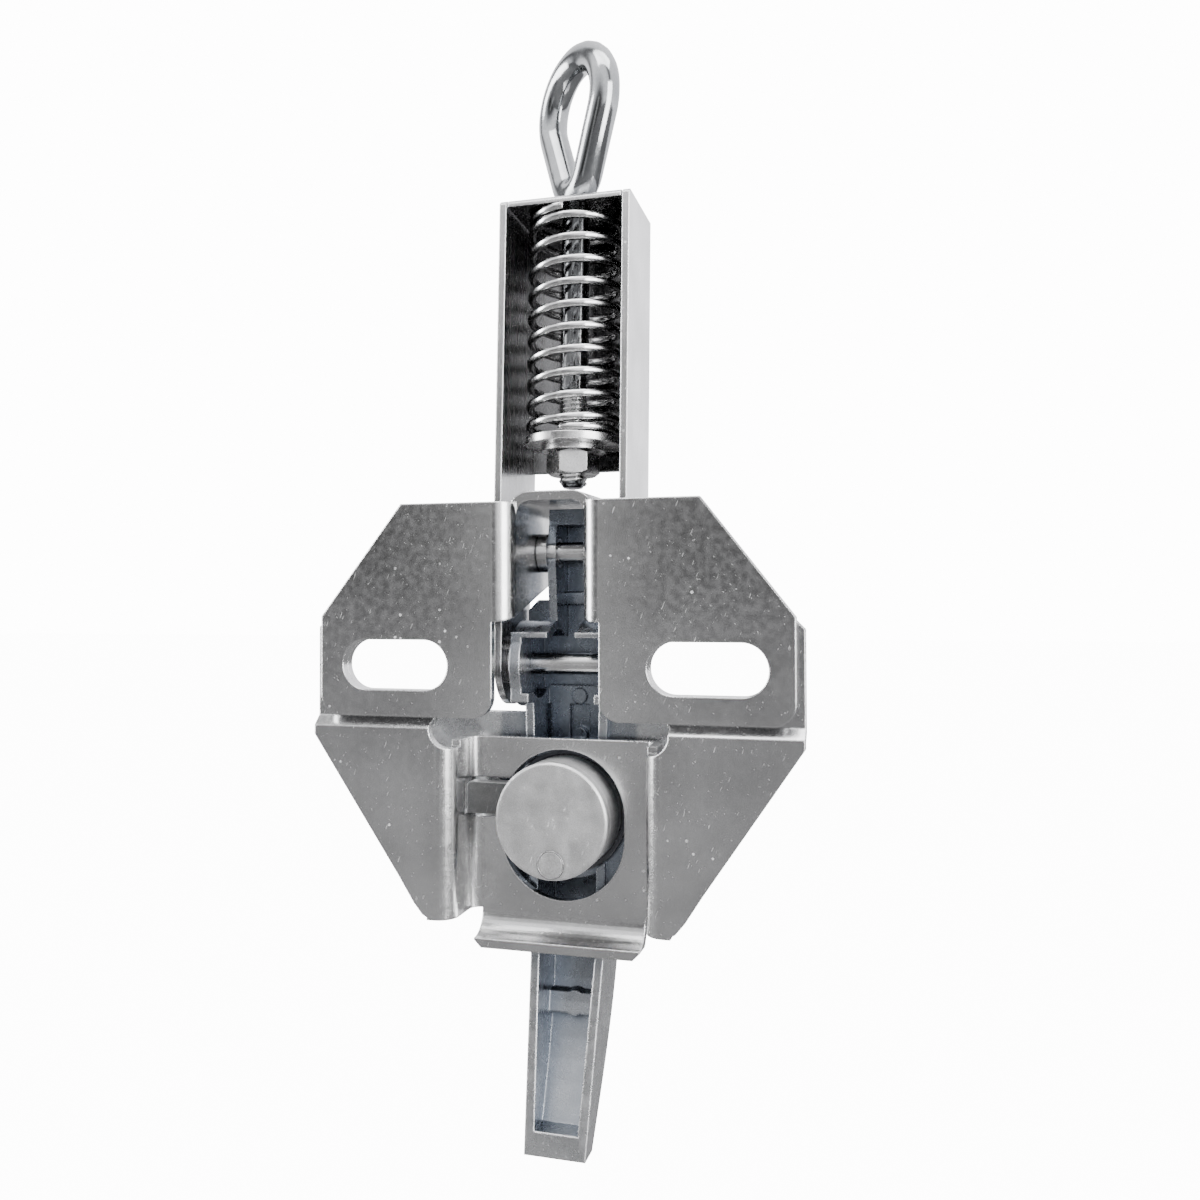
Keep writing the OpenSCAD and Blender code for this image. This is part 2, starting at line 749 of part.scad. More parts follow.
module spring_channel() color("lightblue") link_frame() {
    out_x = channel_x + channel_t;
    r = channel_t * 1.5;
    difference() {
        union() {
            intersection() {
                along_x(2 * out_x) channel_side();
                along_z(-big / 2, channel_h) polygon(concat(
                    [[-out_x, -big / 2], [out_x, -big / 2]],
                    arc(out_x - r, channel_far - r, r, 0, 90),
                    arc(-out_x + r, channel_far - r, r, 90, 180)
                ));
            }
            rod_x(-out_x, out_x, arm_r, 0, 0);
        }
        translate([-channel_x, -big / 2, -big])
            cube([2 * channel_x, big / 2 + channel_far - channel_t, big + tab_z]);
        translate([-channel_x, 0, -big]) cube([2 * channel_x, big, big + web_z]);
        rod_x(-big, big, bore_r, 0, 0);
        translate([0, -rod_y, 0]) cylinder(h = big, r = rod_d / 2 + 0.3);
        both_sides() translate([channel_x - flap_c, -big / 2, tab_z - 1])
            cube([flap_c, big / 2 + channel_far - r, channel_t + 2]);
    }
}

module link_pin() color("silver") headed_pin(channel_x + channel_t, link_y, link_z);

module link_clip() color("dimgray") groove_clip(channel_x + channel_t, link_y, link_z);

module link_washers() color("gainsboro") both_sides() difference() {
    rod_x(hub_x + side_c, channel_x, link_washer_d / 2, link_y, link_z);
    rod_x(0, big, bore_r, link_y, link_z);
}

// Height of the spring's centre line after t turns, with a closed turn at each end
function coil_z(t, turns, rise, tight) =
    t < 1 ? t * tight
    : t > turns - 1 ? rise - (turns - t) * tight
    : tight + (t - 1) * (rise - 2 * tight) / (turns - 2);

module spring() color("whitesmoke") rod_frame() {
    sides = 8;
    per_turn = 28;
    turns = spring_turns + 2;
    rise = tab_z - spring_z - wire_d;
    tight = wire_d + 0.15;
    r = spring_d / 2 - wire_d / 2;
    steps = turns * per_turn;
    pts = [
        for (i = [0:steps], k = [0:sides - 1])
            let (t = i / per_turn, a = 360 * t - 90, b = 360 * k / sides)
            let (d = r + wire_d / 2 * cos(b))
                [d * cos(a), d * sin(a),
                 spring_z + wire_d / 2 + coil_z(t, turns, rise, tight) + wire_d / 2 * sin(b)]
    ];
    walls = [
        for (i = [0:steps - 1], k = [0:sides - 1], h = [0, 1])
            let (k1 = (k + 1) % sides, a = i * sides, b = a + sides)
                h == 0 ? [a + k, b + k, b + k1] : [a + k, b + k1, a + k1]
    ];
    first = [for (k = [0:sides - 1]) k];
    last = [for (k = [sides - 1:-1:0]) steps * sides + k];
    polyhedron(points = pts, faces = concat([first], walls, [last]));
}

module spring_seat() color("silver") rod_frame() difference() {
    translate([0, 0, seat_z]) cylinder(h = seat_t, d = seat_d);
    cylinder(h = big, r = rod_d / 2 + 0.2);
}

module flat_washer() color("gainsboro") rod_frame() difference() {
    translate([0, 0, seat_z - washer_t]) cylinder(h = washer_t, d = washer_d);
    cylinder(h = big, r = rod_d / 2 + 0.2);
}

module nut() color("gray") rod_frame() difference() {
    z = seat_z - washer_t - nut_h;
    intersection() {
        translate([0, 0, z]) rotate([0, 0, 17]) cylinder(h = nut_h, d = nut_af / cos(30), $fn = 6);
        union() {
            translate([0, 0, z + 1]) cylinder(h = nut_h - 2, d = nut_af * 1.2);
            translate([0, 0, z]) cylinder(h = 1 + eps, r1 = nut_af / 2, r2 = nut_af * 0.6);
            translate([0, 0, z + nut_h - 1 - eps])
                cylinder(h = 1 + eps, r1 = nut_af * 0.6, r2 = nut_af / 2);
        }
    }
    cylinder(h = big, r = rod_d / 2 + run_c);
}

// The drop-shaped eye of round stock, about its centre in the XZ plane
module eye_loop() {
    wire_r = eye_wire_d / 2;
    half = acos((eye_ring_r - eye_foot_r) / eye_rise);
    sides = 16;
    top_steps = 36;
    foot_steps = 10;
    rings = concat(
        [for (i = [0:top_steps]) let (t = i / top_steps)
            [half - 90 + t * (360 - 2 * half), 0, eye_ring_r]],
        [for (i = [0:foot_steps]) let (t = i / foot_steps)
            [270 - half + t * 2 * half, -eye_rise, eye_foot_r]]
    );
    count = len(rings);
    pts = [
        for (g = rings, k = [0:sides - 1])
            let (b = 360 * k / sides, d = g[2] + wire_r * cos(b))
                [d * cos(g[0]), wire_r * sin(b), g[1] + d * sin(g[0])]
    ];
    faces = [
        for (i = [0:count - 1], k = [0:sides - 1], h = [0, 1])
            let (k1 = (k + 1) % sides, a = i * sides, b = ((i + 1) % count) * sides)
                h == 0 ? [a + k, b + k, b + k1] : [a + k, b + k1, a + k1]
    ];
    polyhedron(points = pts, faces = faces);
}

// The eye bolt: a shank with a chamfered end that runs into the eye
module eye_bolt() color("silver") rod_frame() {
    foot_z = eye_z - eye_rise - eye_foot_r;
    translate([0, 0, rod_low]) cylinder(h = 1, r1 = rod_d / 2 - 0.8, r2 = rod_d / 2);
    translate([0, 0, rod_low + 1 - eps]) cylinder(h = foot_z - rod_low, d = rod_d);
    translate([0, 0, eye_z]) rotate([0, 0, -eye_turn]) eye_loop();
}

upper_bracket();
lower_bracket();
pivot_pin();
pivot_clip();
handle();
pivot_bushes();
lock_housing();
lock_cap();
cap_screw();
lock_ring();
lock_plug();
drive_pin();
lock_bolt();
spring_channel();
link_pin();
link_washers();
link_clip();
spring();
spring_seat();
flat_washer();
eye_bolt();
nut();
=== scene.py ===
import math

import bpy
from mathutils import Matrix, Vector


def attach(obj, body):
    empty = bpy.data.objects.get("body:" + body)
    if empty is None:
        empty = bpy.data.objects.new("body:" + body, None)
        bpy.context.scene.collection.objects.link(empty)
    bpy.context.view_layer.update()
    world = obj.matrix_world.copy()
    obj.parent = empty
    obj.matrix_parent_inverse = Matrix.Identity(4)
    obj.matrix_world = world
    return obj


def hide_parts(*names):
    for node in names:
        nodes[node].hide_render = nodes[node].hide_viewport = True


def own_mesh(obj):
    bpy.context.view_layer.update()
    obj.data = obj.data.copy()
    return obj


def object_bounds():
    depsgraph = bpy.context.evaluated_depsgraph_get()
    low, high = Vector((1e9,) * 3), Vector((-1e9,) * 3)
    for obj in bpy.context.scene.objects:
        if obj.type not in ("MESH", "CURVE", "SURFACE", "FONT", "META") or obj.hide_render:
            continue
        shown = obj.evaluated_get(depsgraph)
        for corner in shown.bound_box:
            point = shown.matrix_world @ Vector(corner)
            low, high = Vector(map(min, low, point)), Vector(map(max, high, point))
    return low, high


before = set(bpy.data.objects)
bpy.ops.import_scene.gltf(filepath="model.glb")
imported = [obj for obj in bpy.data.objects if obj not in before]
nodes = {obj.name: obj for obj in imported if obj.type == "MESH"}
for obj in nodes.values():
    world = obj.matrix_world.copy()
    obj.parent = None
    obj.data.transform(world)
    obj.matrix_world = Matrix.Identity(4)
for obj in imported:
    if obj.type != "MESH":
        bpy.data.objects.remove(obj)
cad_low, cad_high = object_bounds()

MM = 0.001

# The photograph's camera, measured against the brackets, with its angles in radians
CAMERA_TARGET = Vector((15.5, 0.0, 24.05)) * MM
CAMERA_DISTANCE = 271 * MM
CAMERA_YAW = 0.271
CAMERA_PITCH = 0.0222
CAMERA_ROLL = -0.0027
CAMERA_SENSOR = 36.0
CAMERA_LENS = 32.1
CAMERA_SHIFT = (-0.00167, -0.0225)
CAMERA_NEAR = 0.01
CAMERA_FAR = 20.0

# The floor, in metres, and what the camera sees behind the latch
FLOOR_SIZE = 8.0
FLOOR_GAP = 22 * MM
FLOOR_GREY = 0.12
FLOOR_ROUGHNESS = 0.9
FLOOR_GLOW = 13.0
BACKDROP_LIGHT = 14.0

# The soft boxes: name, place and aim in metres, width and height in metres, power in watts
SOFT_BOXES = (
    ("left_softbox", (-0.90, -0.18, 0.12), (0, 0.02, 0.02), (0.40, 0.9), 13.0),
    ("front_glow", (-0.30, -0.92, 0.06), (0, 0.0, 0.0), (0.16, 0.6), 0.14),
    ("right_softbox", (0.76, -0.46, 0.12), (0, 0.02, 0.03), (0.50, 1.0), 16.0),
    ("top_softbox", (0.05, -0.20, 0.90), (0, 0.02, 0.0), (0.9, 0.4), 7.0),
)

# The tent round the latch, dark towards its opening at the front left. Each shade has a
# place from the far side at 0 to the opening at 1, a grey and a share of blue.
TENT_LIGHT = 2.2
TENT_OPENING = Vector((-0.36, -0.93, -0.16)).normalized()
TENT_SHADES = (
    (0.0, 0.9, 1.04), (0.46, 1.0, 1.02), (0.52, 0.10, 1.02), (0.58, 0.10, 1.02),
    (0.64, 0.9, 1.02), (0.80, 1.0, 1.02), (0.885, 0.6, 1.02), (0.935, 0.15, 1.02),
    (0.965, 0.04, 1.02), (1.0, 0.03, 1.0),
)

# The eye bolt's shank and its thread, by height along its leaning axis from the foot
SHANK_FOOT = Vector((0.0, 23.0018, -0.532)) * MM
SHANK_LEAN = math.radians(3)
SHANK_WIDTH = 8 * MM
THREAD_PITCH = 1.25 * MM
THREAD_DEPTH = 0.45 * MM
THREAD_ROOT = 3.4 * MM
THREAD_LOW = 50.3 * MM
THREAD_TOP = 76.5 * MM
THREAD_RUNOUT = 0.6 * MM
THREAD_STEPS = 28
MERGE_GAP = 1e-6
SMOOTH_ANGLE = math.radians(30)

# The staked ring round the cover plate's screw
STAKE_PLACE = Vector((0.0, 4.78, -51.65)) * MM
STAKE_RADIUS = 3.5 * MM
STAKE_WIDTH = 0.5 * MM

# The crest behind the neck, on the inside of the handle's outer face
BROW_WIDTH = 13.6 * MM
BROW_THICK = 2.4 * MM
BROW_HEIGHT = 4.0 * MM
BROW_Y = 32.3 * MM
BROW_Z = 17.6 * MM
BROW_CORNER = 0.8 * MM

# The wear's effects and the painted edge highlight: where in its noise or turn each one
# starts, and where it is full
FLAKE_CHOICE = (0.90, 0.91)
FLAKE_EDGE = (0.30, 0.16)
FLAKE_PATCHES = (0.50, 0.62)
SCRATCH_CHOICE = (0.80, 0.85)
EDGE_TURN = (0.995, 0.85)
EDGE_NICKS = (0.40, 0.58)
NOISE_MIDDLE = (0.30, 0.70)

# How the two sets of scratches are turned, in radians, and how fine they are drawn
SCRATCH_TURNS = (1.2, -0.9)
SCRATCH_FINENESS = 3000.0

# The sandy grain's darkest and lightest share, and the openness at which no more shade is
# painted
GRAIN_SHADE = (0.88, 1.12)
RECESS_SHADE_OPEN = 0.92

# What a flake or a scratch does to the metal under it
MARK_CHALK = 0.8
MARK_ROUGHNESS = 0.25
MARK_HEIGHT = 1.5
BUMP_DEPTH = 0.1 * MM


# Camera, floor and light

def place_camera():
    """Sets the camera at the photograph's place, looking slightly up from the right."""
    forward = Vector((
        -math.sin(CAMERA_YAW) * math.cos(CAMERA_PITCH),
        math.cos(CAMERA_YAW) * math.cos(CAMERA_PITCH),
        math.sin(CAMERA_PITCH),
    ))
    level = Vector((math.cos(CAMERA_YAW), math.sin(CAMERA_YAW), 0.0))
    upright = level.cross(forward)
    right = math.cos(CAMERA_ROLL) * level + math.sin(CAMERA_ROLL) * upright
    up = math.cos(CAMERA_ROLL) * upright - math.sin(CAMERA_ROLL) * level
    lens = bpy.data.cameras.new("photo_camera")
    lens.sensor_width = CAMERA_SENSOR
    lens.lens = CAMERA_LENS
    lens.shift_x, lens.shift_y = CAMERA_SHIFT
    lens.clip_start = CAMERA_NEAR
    lens.clip_end = CAMERA_FAR
    camera = bpy.data.objects.new("photo_camera", lens)
    bpy.context.scene.collection.objects.link(camera)
    turn = Matrix((right, up, -forward)).transposed().to_4x4()
    camera.matrix_world = Matrix.Translation(CAMERA_TARGET - forward * CAMERA_DISTANCE) @ turn
    bpy.context.scene.camera = camera


def add_soft_box(name, place, aim, size, power):
    """A soft rectangular lamp at place, turned towards aim."""
    lamp = bpy.data.lights.new(name, "AREA")
    lamp.shape = "RECTANGLE"
    lamp.size, lamp.size_y = size
    lamp.energy = power
    holder = bpy.data.objects.new(name, lamp)
    holder.location = place
    holder.rotation_euler = (Vector(aim) - Vector(place)).to_track_quat("-Z", "Y").to_euler()
    bpy.context.scene.collection.objects.link(holder)


def light_studio():
    """A white tent whose dark opening the wings mirror, with soft boxes round the latch."""
    for soft_box in SOFT_BOXES:
        add_soft_box(*soft_box)
    world = bpy.data.worlds.new("pale_tent")
    bpy.context.scene.world = world
    world.use_nodes = True
    tree = world.node_tree
    tree.nodes.clear()
    out = tree.nodes.new("ShaderNodeOutputWorld")
    seen = tree.nodes.new("ShaderNodeBackground")
    seen.inputs["Color"].default_value = (1, 1, 1, 1)
    seen.inputs["Strength"].default_value = BACKDROP_LIGHT
    around = tree.nodes.new("ShaderNodeBackground")
    around.inputs["Strength"].default_value = TENT_LIGHT
    mix = tree.nodes.new("ShaderNodeMixShader")
    path = tree.nodes.new("ShaderNodeLightPath")
    place = tree.nodes.new("ShaderNodeTexCoord")
    towards = tree.nodes.new("ShaderNodeVectorMath")
    towards.operation = "DOT_PRODUCT"
    towards.inputs[1].default_value = TENT_OPENING
    ramp = tree.nodes.new("ShaderNodeValToRGB")
    ramp.color_ramp.interpolation = "B_SPLINE"
    stops = ramp.color_ramp.elements
    for position, shade, blue in TENT_SHADES[1:-1]:
        stops.new(position)
    for stop, (position, shade, blue) in zip(stops, TENT_SHADES):
        stop.position = position
        stop.color = (shade, shade, shade * blue, 1)
    half = tree.nodes.new("ShaderNodeMath")
    half.operation = "MULTIPLY_ADD"
    half.inputs[1].default_value = 0.5
    half.inputs[2].default_value = 0.5
    link = tree.links.new
    link(place.outputs["Generated"], towards.inputs[0])
    link(towards.outputs["Value"], half.inputs[0])
    link(half.outputs[0], ramp.inputs["Fac"])
    link(ramp.outputs["Color"], around.inputs["Color"])
    link(path.outputs["Is Camera Ray"], mix.inputs[0])
    link(around.outputs[0], mix.inputs[1])
    link(seen.outputs[0], mix.inputs[2])
    link(mix.outputs[0], out.inputs[0])


def add_floor():
    """A plain floor under the hanging latch, pale to the camera and dim in reflections."""
    bpy.ops.object.select_all(action="DESELECT")
    bpy.ops.mesh.primitive_plane_add(
        size=FLOOR_SIZE, location=(0, 0, cad_low[2] - FLOOR_GAP)
    )
    floor = bpy.context.object
    floor.name = "studio_floor"
    pale = bpy.data.materials.new("floor_white")
    pale.use_nodes = True
    skin = pale.node_tree.nodes["Principled BSDF"]
    skin.inputs["Base Color"].default_value = (FLOOR_GREY, FLOOR_GREY, FLOOR_GREY, 1)
    skin.inputs["Roughness"].default_value = FLOOR_ROUGHNESS
    skin.inputs["Emission Color"].default_value = (1, 1, 1, 1)
    path = pale.node_tree.nodes.new("ShaderNodeLightPath")
    glow = pale.node_tree.nodes.new("ShaderNodeMath")
    glow.operation = "MULTIPLY"
    glow.inputs[1].default_value = FLOOR_GLOW
    pale.node_tree.links.new(path.outputs["Is Camera Ray"], glow.inputs[0])
    pale.node_tree.links.new(glow.outputs[0], skin.inputs["Emission Strength"])
    floor.data.materials.append(pale)


# Shared shader effects

def new_group(name, inputs, outputs):
    """An empty shader node group with named inputs (name, kind, default) and outputs."""
    group = bpy.data.node_groups.new(name, "ShaderNodeTree")
    for label, kind, value in inputs:
        socket = group.interface.new_socket(label, in_out="INPUT", socket_type=kind)
        socket.default_value = value
    for label, kind in outputs:
        group.interface.new_socket(label, in_out="OUTPUT", socket_type=kind)
    return group, group.nodes.new("NodeGroupInput"), group.nodes.new("NodeGroupOutput")


def add_noise(group, scale, detail):
    """A noise on Object coordinates; its scale is a socket or a number."""
    place = group.nodes.new("ShaderNodeTexCoord")
    noise = group.nodes.new("ShaderNodeTexNoise")
    noise.inputs["Detail"].default_value = detail
    if isinstance(scale, (int, float)):
        noise.inputs["Scale"].default_value = scale
    else:
        group.links.new(scale, noise.inputs["Scale"])
    group.links.new(place.outputs["Object"], noise.inputs["Vector"])
    return noise.outputs["Fac"]


def add_range(group, value, low, high, to_low=0.0, to_high=1.0):
    """Maps a value's range from low to high onto another range, with soft ends."""
    span = group.nodes.new("ShaderNodeMapRange")
    span.interpolation_type = "SMOOTHSTEP"
    span.inputs["From Min"].default_value = low
    span.inputs["From Max"].default_value = high
    span.inputs["To Min"].default_value = to_low
    span.inputs["To Max"].default_value = to_high
    group.links.new(value, span.inputs["Value"])
    return span.outputs["Result"]


def add_math(group, operation, first, second):
    """A math node on two values, each a socket or a number."""
    node = group.nodes.new("ShaderNodeMath")
    node.operation = operation
    for slot, value in enumerate((first, second)):
        if isinstance(value, (int, float)):
            node.inputs[slot].default_value = value
        else:
            group.links.new(value, node.inputs[slot])
    return node.outputs[0]


def make_plating_group():
    """Cloudy zinc plating: broad clouds, sandy grain and sparse bright flakes."""
    group, given, out = new_group(
        "plating",
        [("Cloud Scale", "NodeSocketFloat", 60.0), ("Flake Scale", "NodeSocketFloat", 620.0)],
        [("Cloud", "NodeSocketFloat"), ("Grain", "NodeSocketFloat"),
         ("Flake", "NodeSocketFloat")],
    )
    cloud = add_noise(group, given.outputs["Cloud Scale"], 4.0)
    grain = add_noise(group, 4200.0, 1.0)
    patch = add_noise(group, 90.0, 2.0)
    place = group.nodes.new("ShaderNodeTexCoord")
    flake = group.nodes.new("ShaderNodeTexVoronoi")
    rare = group.nodes.new("ShaderNodeSeparateColor")
    link = group.links.new
    link(place.outputs["Object"], flake.inputs["Vector"])
    link(given.outputs["Flake Scale"], flake.inputs["Scale"])
    link(flake.outputs["Color"], rare.inputs["Color"])
    chosen = add_range(group, rare.outputs["Red"], *FLAKE_CHOICE)
    spot = add_range(group, flake.outputs["Distance"], *FLAKE_EDGE)
    where = add_range(group, patch, *FLAKE_PATCHES)
    flakes = add_math(group, "MULTIPLY", add_math(group, "MULTIPLY", chosen, spot), where)
    link(cloud, out.inputs["Cloud"])
    link(grain, out.inputs["Grain"])
    link(flakes, out.inputs["Flake"])
    return group


def make_scratch_group():
    """Short fine scratches in two directions, from stretched noise."""
    group, given, out = new_group(
        "scratches",
        [("Length", "NodeSocketFloat", 170.0)],
        [("Scratch", "NodeSocketFloat")],
    )
    place = group.nodes.new("ShaderNodeTexCoord")
    stretch = group.nodes.new("ShaderNodeCombineXYZ")
    for axis in "YZ":
        stretch.inputs[axis].default_value = SCRATCH_FINENESS
    group.links.new(given.outputs["Length"], stretch.inputs["X"])
    masks = []
    for turn in SCRATCH_TURNS:
        aim = group.nodes.new("ShaderNodeMapping")
        aim.inputs["Rotation"].default_value = (0.2, turn, 0.3)
        drawn = group.nodes.new("ShaderNodeVectorMath")
        drawn.operation = "MULTIPLY"
        noise = group.nodes.new("ShaderNodeTexNoise")
        noise.inputs["Scale"].default_value = 1.0
        noise.inputs["Detail"].default_value = 0.0
        group.links.new(place.outputs["Object"], aim.inputs["Vector"])
        group.links.new(aim.outputs[0], drawn.inputs[0])
        group.links.new(stretch.outputs[0], drawn.inputs[1])
        group.links.new(drawn.outputs[0], noise.inputs["Vector"])
        masks.append(add_range(group, noise.outputs["Fac"], *SCRATCH_CHOICE))
    group.links.new(add_math(group, "MAXIMUM", *masks), out.inputs["Scratch"])
    return group


def make_brushing_group():
    """Fine streaks or grain, from noise with its own scale along each axis."""
    group, given, out = new_group(
        "brushing",
        [("Stretch", "NodeSocketVector", (40.0, 900.0, 900.0))],
        [("Streak", "NodeSocketFloat")],
    )
    place = group.nodes.new("ShaderNodeTexCoord")
    scale = group.nodes.new("ShaderNodeVectorMath")
    scale.operation = "MULTIPLY"
    noise = group.nodes.new("ShaderNodeTexNoise")
    noise.inputs["Scale"].default_value = 1.0
    noise.inputs["Detail"].default_value = 3.0
    link = group.links.new
    link(place.outputs["Object"], scale.inputs[0])
    link(given.outputs["Stretch"], scale.inputs[1])
    link(scale.outputs[0], noise.inputs["Vector"])
    link(noise.outputs["Fac"], out.inputs["Streak"])
    return group


def make_edge_group():
    """Rounded edge normals and a mask of the outer edges, partly worn metal and partly a
    painted highlight.
    """
    group, given, out = new_group(
        "edge_wear_and_highlight",
        [("Edge Radius", "NodeSocketFloat", 0.0005), ("Edge Grain", "NodeSocketFloat", 0.0)],
        [("Edge", "NodeSocketFloat"), ("Normal", "NodeSocketVector")],
    )
    bevel = group.nodes.new("ShaderNodeBevel")
    bevel.samples = 4
    surface = group.nodes.new("ShaderNodeNewGeometry")
    dot = group.nodes.new("ShaderNodeVectorMath")
    dot.operation = "DOT_PRODUCT"
    link = group.links.new
    link(given.outputs["Edge Radius"], bevel.inputs["Radius"])
    link(bevel.outputs["Normal"], dot.inputs[0])
    link(surface.outputs["Normal"], dot.inputs[1])
    edge = add_range(group, dot.outputs["Value"], *EDGE_TURN)
    nick = add_range(group, add_noise(group, 2200.0, 1.0), *EDGE_NICKS)
    bare = add_math(group, "SUBTRACT", 1.0, given.outputs["Edge Grain"])
    worn_and_highlight = add_math(group, "MAXIMUM", nick, bare)
    link(add_math(group, "MULTIPLY", edge, worn_and_highlight), out.inputs["Edge"])
    link(bevel.outputs["Normal"], out.inputs["Normal"])
    return group


def make_recess_shade_group():
    """A mask that is 1 on open faces and falls to 0 deep in a corner or pocket, where the
    metals get painted shade.
    """
    group, given, out = new_group(
        "recess_shade",
        [("Reach", "NodeSocketFloat", 0.010), ("Open From", "NodeSocketFloat", 0.15)],
        [("Open", "NodeSocketFloat")],
    )
    shade = group.nodes.new("ShaderNodeAmbientOcclusion")
    shade.samples = 6
    group.links.new(given.outputs["Reach"], shade.inputs["Distance"])
    span = group.nodes.new("ShaderNodeMapRange")
    span.inputs["From Max"].default_value = RECESS_SHADE_OPEN
    group.links.new(shade.outputs["AO"], span.inputs["Value"])
    group.links.new(given.outputs["Open From"], span.inputs["From Min"])
    group.links.new(span.outputs["Result"], out.inputs["Open"])
    return group


PLATING = make_plating_group()
SCRATCHES = make_scratch_group()
BRUSHING = make_brushing_group()
EDGE_WEAR_AND_HIGHLIGHT = make_edge_group()
RECESS_SHADE = make_recess_shade_group()


def use_group(tree, group, **values):
    """Places a shared group in a material and sets its inputs by name."""
    node = tree.nodes.new("ShaderNodeGroup")
    node.node_tree = group
    for label, value in values.items():
        node.inputs[label.replace("_", " ")].default_value = value
    return node


def blend(tree, factor, first, second):
    """Mixes two colours, each a socket or a colour, by a factor socket."""
    mix = tree.nodes.new("ShaderNodeMix")
    mix.data_type = "RGBA"
    tree.links.new(factor, mix.inputs["Factor"])
    for label, colour in (("A", first), ("B", second)):
        if isinstance(colour, tuple):
            mix.inputs[label].default_value = (*colour, 1)
        else:
            tree.links.new(colour, mix.inputs[label])
    return mix.outputs["Result"]


def add_height_fade(tree, low, high, share):
    """A factor that is share below the height low and 1 above the height high."""
    place = tree.nodes.new("ShaderNodeTexCoord")
    split = tree.nodes.new("ShaderNodeSeparateXYZ")
    tree.links.new(place.outputs["Object"], split.inputs[0])
    return add_range(tree, split.outputs["Z"], low, high, share, 1.0)


def add_side_fade(tree, near, far, share):
    """A factor that is 1 within near of the middle plane and share beyond far."""
    place = tree.nodes.new("ShaderNodeTexCoord")
    split = tree.nodes.new("ShaderNodeSeparateXYZ")
    tree.links.new(place.outputs["Object"], split.inputs[0])
    across = add_math(tree, "ABSOLUTE", split.outputs["X"], 0.0)
    return add_range(tree, across, near, far, 1.0, share)


def plated_metal(name, dark, light, worn_and_highlight, rough, flakes, scratches, relief=0.12,
                 stretch=(300.0, 300.0, 300.0), cloud=60.0, edge_radius=0.0005,
                 edge_grain=0.0, shade=(0.04, 0.05, 0.07), reach=0.010, shade_share=0.7,
                 open_from=0.15, lit_end=None, wings=None):
    """A metal between dark and light, worn on its marks, its edges painted light as wear and
    as a painted highlight, and painted shade in its recesses.

    The painted shade is held back below the heights of lit_end, and beyond the widths of
    wings.
    """
    material = bpy.data.materials.new(name)
    material.use_nodes = True
    tree = material.node_tree
    skin = tree.nodes["Principled BSDF"]
    skin.inputs["Metallic"].default_value = 1.0
    plating = use_group(tree, PLATING, Cloud_Scale=cloud)
    scratch = use_group(tree, SCRATCHES)
    brushing = use_group(tree, BRUSHING, Stretch=stretch)
    edges = use_group(tree, EDGE_WEAR_AND_HIGHLIGHT, Edge_Radius=edge_radius, Edge_Grain=edge_grain)
    recess_shade = use_group(tree, RECESS_SHADE, Reach=reach, Open_From=open_from)
    clouds = add_range(tree, plating.outputs["Cloud"], *NOISE_MIDDLE)
    grains = add_range(tree, plating.outputs["Grain"], *NOISE_MIDDLE, *GRAIN_SHADE)
    tone = blend(tree, clouds, dark, light)
    sandy = tree.nodes.new("ShaderNodeVectorMath")
    sandy.operation = "SCALE"
    tree.links.new(tone, sandy.inputs[0])
    tree.links.new(grains, sandy.inputs["Scale"])
    marks = add_math(
        tree, "MAXIMUM",
        add_math(tree, "MULTIPLY", plating.outputs["Flake"], flakes),
        add_math(tree, "MULTIPLY", scratch.outputs["Scratch"], scratches),
    )
    marked = blend(tree, marks, sandy.outputs[0], worn_and_highlight)
    # The outer edges are painted towards the worn colour: partly edge wear, partly a painted
    # highlight.
    rubbed_and_highlit = blend(tree, edges.outputs["Edge"], marked, worn_and_highlight)
    # Painted shade: the colour is blended towards shade in recesses, held back by lit_end and
    # wings.
    painted_shade = add_math(
        tree, "MULTIPLY", add_math(tree, "SUBTRACT", 1.0, recess_shade.outputs["Open"]), shade_share
    )
    if lit_end:
        painted_shade = add_math(tree, "MULTIPLY", painted_shade, add_height_fade(tree, *lit_end))
    if wings:
        painted_shade = add_math(tree, "MULTIPLY", painted_shade, add_side_fade(tree, *wings))
    tree.links.new(blend(tree, painted_shade, rubbed_and_highlit, shade), skin.inputs["Base Color"])
    chalky = add_math(tree, "MULTIPLY", marks, MARK_CHALK)
    tree.links.new(add_math(tree, "SUBTRACT", 1.0, chalky), skin.inputs["Metallic"])
    streaks = add_range(tree, brushing.outputs["Streak"], *NOISE_MIDDLE, *rough)
    matt = add_math(tree, "MULTIPLY", marks, MARK_ROUGHNESS)
    tree.links.new(add_math(tree, "ADD", streaks, matt), skin.inputs["Roughness"])
    height = add_math(
        tree, "ADD",
        add_math(tree, "ADD", brushing.outputs["Streak"], plating.outputs["Grain"]),
        add_math(tree, "MULTIPLY", marks, MARK_HEIGHT),
    )
    bump = tree.nodes.new("ShaderNodeBump")
    bump.inputs["Strength"].default_value = relief
    bump.inputs["Distance"].default_value = BUMP_DEPTH
    tree.links.new(height, bump.inputs["Height"])
    tree.links.new(edges.outputs["Normal"], bump.inputs["Normal"])
    tree.links.new(bump.outputs["Normal"], skin.inputs["Normal"])
    return material


# Finishes

METALS = {}


def paint(material, *names):
    """Gives the CAD nodes of these names the material, and keeps it by their names."""
    for name in names:
        piece = nodes[name]
        piece.data.materials.clear()
        piece.data.materials.append(material)
        METALS[name] = material


def grey(value, cool=0.0):
    """A grey, a little blue where cool is above nought."""
    return (value - cool, value, value + cool)


